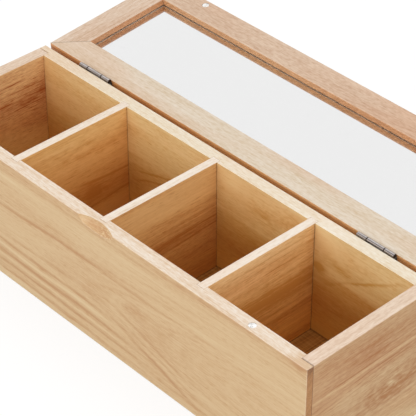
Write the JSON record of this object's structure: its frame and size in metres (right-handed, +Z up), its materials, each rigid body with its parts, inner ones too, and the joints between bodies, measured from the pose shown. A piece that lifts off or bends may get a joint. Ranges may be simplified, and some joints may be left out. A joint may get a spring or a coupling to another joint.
{
  "type": "tea bag organizer box",
  "caption": "Long wooden tea bag box with a row of open compartments and a framed clear-window lid on small butt hinges, held shut by round magnets; the lid is stored open.",
  "frame": {"origin": "on the surface the box stands on, straight below the axis of the hinge pins at the middle of the length; with the lid open this is the centre of the footprint, to within 0.3 mm", "axes": "+X along the row of compartments to the right end, -Y towards the front panel with the finger scoop, +Y towards the side where the open lid lies, +Z up"},
  "size_m": [0.36, 0.2206, 0.1063],
  "materials": {
    "rubberwood": "sanded, thin clear satin oil",
    "plywood": "sanded face veneer",
    "clear_pane": "clear and polished",
    "nickel": "nickel plated",
    "hinge_steel": "satin nickel-plated steel"
  },
  "bodies": {
    "box": {"front_panel": "rubberwood", "back_panel": "rubberwood", "left_end_panel": "rubberwood", "right_end_panel": "rubberwood", "floor_panel": "plywood", "left_divider": "rubberwood", "middle_divider": "rubberwood", "right_divider": "rubberwood", "left_box_magnet": "nickel", "right_box_magnet": "nickel", "left_hinge_box_leaf": "hinge_steel", "left_hinge_pin": "hinge_steel", "left_hinge_box_screws": "hinge_steel", "right_hinge_box_leaf": "hinge_steel", "right_hinge_pin": "hinge_steel", "right_hinge_box_screws": "hinge_steel"},
    "lid": {"lid_front_rail": "rubberwood", "lid_rear_rail": "rubberwood", "lid_left_stile": "rubberwood", "lid_right_stile": "rubberwood", "lid_pane": "clear_pane", "left_lid_magnet": "nickel", "right_lid_magnet": "nickel", "left_hinge_lid_leaf": "hinge_steel", "left_hinge_lid_screws": "hinge_steel", "right_hinge_lid_leaf": "hinge_steel", "right_hinge_lid_screws": "hinge_steel"}
  },
  "joints": [
    {"name": "lid_hinge", "type": "hinge", "parent": "box", "child": "lid", "pos_m": [0, 0, 0.09665], "axis": [1, 0, 0], "range_deg": [0, 174.85]}
  ]
}
